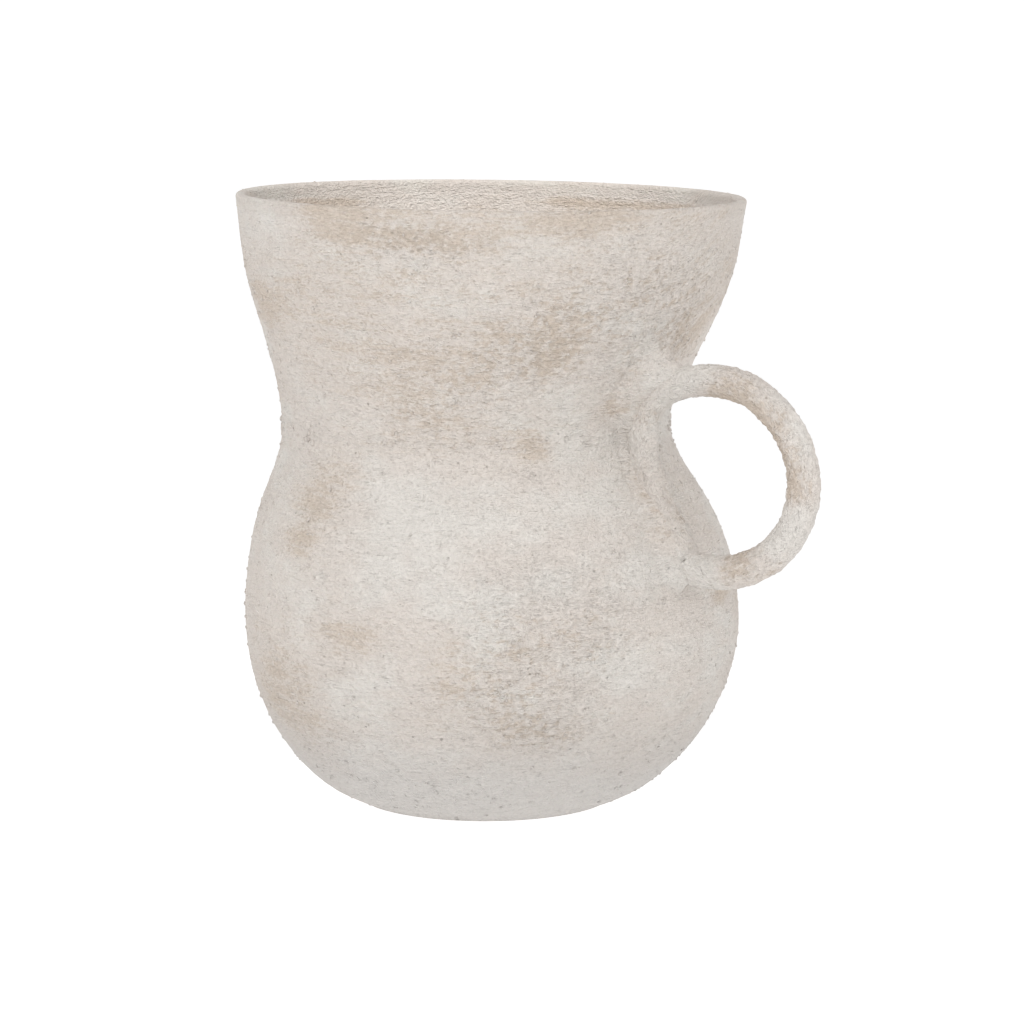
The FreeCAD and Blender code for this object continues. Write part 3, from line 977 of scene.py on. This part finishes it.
# %% Measure the luting's place
def near_coil_and_wall(tree, given, place, height):
    """How far a place is from the coil's skin and from the wall's, and how surely it is outside the ring."""
    near_line = {"Geometry": given["Geometry"]}
    near_line = add(tree, "GeometryNodeProximity", near_line, target_element="EDGES").outputs
    to_coil = Level(tree, near_line["Distance"]) - given["Coil Radius"] * thicker_below(tree, height)
    wall = {"Object": given["Wall"]}
    wall = add(tree, "GeometryNodeObjectInfo", wall, transform_space="ORIGINAL").outputs["Geometry"]
    nearest = add(tree, "GeometryNodeProximity", {"Geometry": wall}, target_element="FACES").outputs["Position"]
    facing = {"Mesh": wall, "Value": geo(tree, "InputNormal")}
    facing = geo(tree, "SampleNearestSurface", facing, data_type="FLOAT_VECTOR")
    to_wall = vectors(tree, "DOT_PRODUCT", vectors(tree, "SUBTRACT", place, nearest), facing)
    from_middle, line_from_middle = [
        vectors(tree, "DISTANCE", spot, tuple(ring_middle)) for spot in (place, near_line["Position"])
    ]
    return to_coil, to_wall, spread(tree, from_middle - line_from_middle, -4 * mm, 4 * mm)


def smear_width(tree, given, sideways, height, outside_ring):
    """How widely the clay is smeared: the widest of the bead and the two wipes."""
    bead = spread(tree, sideways, -5 * mm, 3 * mm, 1.0, 0.0) * given["Bead Smear"]
    bead = bead * spread(tree, height, 132 * mm, 164 * mm, 2.0, 1.0)
    bead = bead * spread(tree, height, 172 * mm, 184 * mm, 1.0, 0.5)
    upper = spread(tree, height, 168 * mm, 192 * mm) * given["Upper Smear"] * outside_ring
    lower = spread(tree, height, 108 * mm, 140 * mm, 1.0, 0.0) * given["Lower Smear"]
    lower = lower * spread(tree, sideways, 4 * mm, 14 * mm, 1.0, 0.0) * (1.0 - outside_ring * 0.8)
    wipes = sums(tree, "MAXIMUM", upper, lower)
    return sums(tree, "MAXIMUM", sums(tree, "MAXIMUM", bead, given["Crisp Smear"]), wipes)

# %% [markdown]
# ## The luting clay
# The tree fills a small block of space: clay is wherever the smoothed union of coil and wall says so, thickest
# in the crease. Its own surface runs out under those of the wall and the coil, and stops at the block's ends.

# %% The luting tree
def luting_tree():
    corner = (0.0, 0.0, 0.0)
    tree, given = new_tree(
        "smeared_luting", Wall=None, Coil_Radius=coil_radius, Crisp_Smear=1.5 * mm, Bead_Smear=9 * mm,
        Upper_Smear=34 * mm, Lower_Smear=24 * mm, Reach=4.5 * mm, Spread_Share=0.42, Thickness=0.35 * mm,
        Run_Under=1.8 * mm, Grain_Step=0.8 * mm, Low_End=0.0, High_End=0.0, Low_Corner=corner, High_Corner=corner,
    )
    place = geo(tree, "InputPosition")
    sideways, height = axes(tree, place)[1:]
    to_coil, to_wall, outside_ring = near_coil_and_wall(tree, given, place, height)
    smear = smear_width(tree, given, sideways, height, outside_ring)

    reach = given["Reach"] + smear * given["Spread Share"]
    union, furthest = sums(tree, "SMOOTH_MIN", to_coil, to_wall, smear), sums(tree, "MAXIMUM", to_coil, to_wall)
    ragged = (noise(tree, place, 9 * mm, 2.0) - 0.5) * (8 * mm)
    skin_depth = spread(tree, furthest + ragged, 0.0, reach) * given["Run Under"] - given["Thickness"]
    outside = sums(tree, "MAXIMUM", union + skin_depth, furthest - reach)
    outside = sums(tree, "MAXIMUM", outside, -3 * mm - to_wall)
    past_end = sums(tree, "MAXIMUM", height - given["High End"], given["Low End"] - height)
    outside = outside + sums(tree, "MAXIMUM", past_end, 0.0) * 0.5

    sides = axes(tree, vectors(tree, "SUBTRACT", given["High Corner"], given["Low Corner"]))
    feeds = {f"Resolution {name}": side / given["Grain Step"] for name, side in zip("XYZ", sides)}
    feeds["Density"] = 0.5 - outside / (given["Grain Step"] * 4.0)
    feeds["Min"], feeds["Max"] = given["Low Corner"], given["High Corner"]
    block = {"Volume": geo(tree, "VolumeCube", feeds), "Threshold": 0.5}
    return end_tree(tree, geo(tree, "VolumeToMesh", block, resolution_mode="GRID"), given)


luting = luting_tree()
print("the luting tree has", len(luting.nodes), "nodes")

# %% [markdown]
# ## Fill the three lutings
# Three blocks give the three lutings, each between a low end and a high end in mm. Each dips under its
# neighbour where they meet, so that no line shows between them. The tree measures its way to the wall on a
# patch of the roughened skin.

# %% Fill the lutings
near_ring = sorted(
    (j for j in range(columns) if math.cos(column_turns[j]) > 0.72), key=lambda j: math.sin(column_turns[j])
)
patch_rows = [
    i for i in range(inside_start) if 80 * mm < height_grid[i, 0] < 235 * mm and rows[i][0].endswith("out")
]
patch_ids = index[np.ix_(patch_rows, near_ring)]
patch_faces = strips(np.arange(patch_ids.size).reshape(patch_ids.shape), whole_turn=False)
wall_patch = mesh_object("wall_patch", skin_points[patch_ids.ravel()], patch_faces)
for name, node, low, high in (
    ("upper_luting", "handle_upper_luting", 172, 226),
    ("wall_bead", "handle_wall_luting", 141, 172),
    ("lower_luting", "handle_lower_luting", 88, 141),
):
    corners = dict(Low_Corner=(70 * mm, -38 * mm, (low - 3) * mm), High_Corner=(150 * mm, 38 * mm, (high + 3) * mm))
    ends = dict(Low_End=low * mm, High_End=high * mm)
    made = run_tree(ring_guide, luting, Wall=wall_patch, Clay=luting_clay, **ends, **corners)
    roughened(name, made, "luting_clay", luting_clay, node, luting_worn, rough=1.1, pits=0.35)
bpy.data.objects.remove(wall_patch)
bpy.data.objects.remove(ring_guide)

# %% [markdown]
# ## The seam at the waist
# The pot was made in two parts. Where they meet, the potter pressed a rope of soft clay into the joint and
# wiped it nearly flush. It is a thin band that comes up through the wall's skin here and there, and it runs
# deeper under the ring.

# %% Press in the seam
band_low, band_high = 170 * mm, 181 * mm
under_ring = 1.5 * mm * np.exp(-((degrees_off(column_turns, 0) / 22) ** 4))
front_shares, back_shares = np.linspace(0, 1, 11), np.array([0.9, 0.5, 0.1])
proud = 0.45 * mm * np.sin(math.pi * front_shares) ** 0.7 - 0.35 * mm
depths, band_rows = [*(under_ring - proud[:, None])] + [2.4 * mm] * len(back_shares), []
for share, depth in zip(np.append(front_shares, back_shares), depths):
    level = np.full(columns, band_low + share * (band_high - band_low))
    band_rows.append(round_the_pot(side_of(column_turns, level, True) - depth, level))
band_ids = np.arange(len(band_rows) * columns).reshape(-1, columns)
seam_plain = mesh_object("seam_plain", np.concatenate(band_rows), strips(band_ids, closed=True))
seam_mesh = seam_plain.data.copy()
bpy.data.objects.remove(seam_plain)
roughened("seam_smear", seam_mesh, "seam_clay", luting_clay, "waist_seam", outside_worn, rough=1.5, pits=0.5)

# %% [markdown]
# ## Grog and crumbs
# Grains of crushed brick stand up through the slip all over, and a few crumbs of the seam's clay were left
# on at the waist. One tree scatters both: points on the skin, a low lump on each, turned at random. Each
# random choice has its own fixed seed.

# %% The scattering tree
def picked(tree, seed, low, high):
    """A number for each grain, or three of them, picked between low and high."""
    first, out, kind = (0, 0, "FLOAT_VECTOR") if isinstance(low, tuple) else (2, 1, "FLOAT")
    feeds = {first: low, first + 1: high, "Seed": seed}
    return Level(tree, add(tree, "FunctionNodeRandomValue", feeds, data_type=kind).outputs[out])


def scatter_tree():
    tree, given = new_tree(
        "scattered_grains", Each_Square_Metre=30000.0, Smallest=0.35 * mm, Largest=0.9 * mm, Seed=0
    )
    density = given["Each Square Metre"] * stored(tree, "gritty")
    spots = {"Mesh": given["Geometry"], "Density": density, "Seed": given["Seed"]}
    spots = add(tree, "GeometryNodeDistributePointsOnFaces", spots, distribute_method="RANDOM").outputs
    few_large = sums(tree, "POWER", picked(tree, 7, 0.0, 1.0), 3.0)
    size = spread(tree, few_large, 0.0, 1.0, given["Smallest"], given["Largest"], smooth=False)
    wide, tall = size * picked(tree, 11, 0.8, 1.5), size * picked(tree, 13, 0.55, 0.95)
    shape = add(tree, "ShaderNodeCombineXYZ", (wide, size, tall)).outputs[0]
    spin = {"Rotation": spots["Rotation"], "Rotate By": picked(tree, 17, (-0.5, -0.5, 0.0), (0.5, 0.5, 6.28))}
    turned = add(tree, "FunctionNodeRotateRotation", spin, rotation_space="LOCAL").outputs[0]
    lump = geo(tree, "MeshIcoSphere", {"Radius": 1.0, "Subdivisions": 1})
    crooked = {"Geometry": lump, "Offset": picked(tree, 3, (-0.22, -0.22, -0.22), (0.22, 0.22, 0.22))}
    crooked = geo(tree, "SetPosition", crooked)
    grains = {"Points": spots["Points"], "Instance": crooked, "Rotation": turned, "Scale": shape}
    return end_tree(tree, geo(tree, "InstanceOnPoints", grains), given)


scatter = scatter_tree()
print("the scattering tree has", len(scatter.nodes), "nodes")

# %% [markdown]
# ## Scatter the grains
# Grains lie where the wall is rough and pitted, and never on the flat foot. Crumbs lie in a few clumps along
# the seam, each at its turn in degrees.

# %% Scatter the grains
clumps = np.full(columns, 0.03)
for turn in (-143, -136, 36, 43, 95, 150, -110, -20, 12):
    clumps += np.exp(-((degrees_off(column_turns, turn) / 3.5) ** 2))
at_waist = np.exp(-(((height_grid - 174 * mm) / (3.2 * mm)) ** 2)) * clumps
all_over = np.clip(roughness * (0.6 + 0.7 * pitted), 0, 2) * (height_grid > 1.5 * mm)
outside_ids = index[:inside_start]
for name, slot, gritty, each, small, large, seed in (
    ("grog_grains", "body_clay", all_over, 42000.0, 0.32, 0.95, 5),
    ("seam_crumbs", "seam_clay", at_waist, 150000.0, 0.8, 1.9, 9),
):
    outside_points = skin_points[: outside_ids.size]
    ground = mesh_object(name + "_ground", outside_points, strips(outside_ids), gritty=gritty[:inside_start])
    sizes = dict(Each_Square_Metre=each, Smallest=small * mm, Largest=large * mm)
    made = run_tree(ground, scatter, Seed=seed, Clay=wall_clay, **sizes)
    bpy.data.objects.remove(ground)
    store(made, "worn", outside_worn(read_points(made)))
    store(made, "relief", 1.0)
    finish_piece(new_object(name, made), slot, wall_clay)
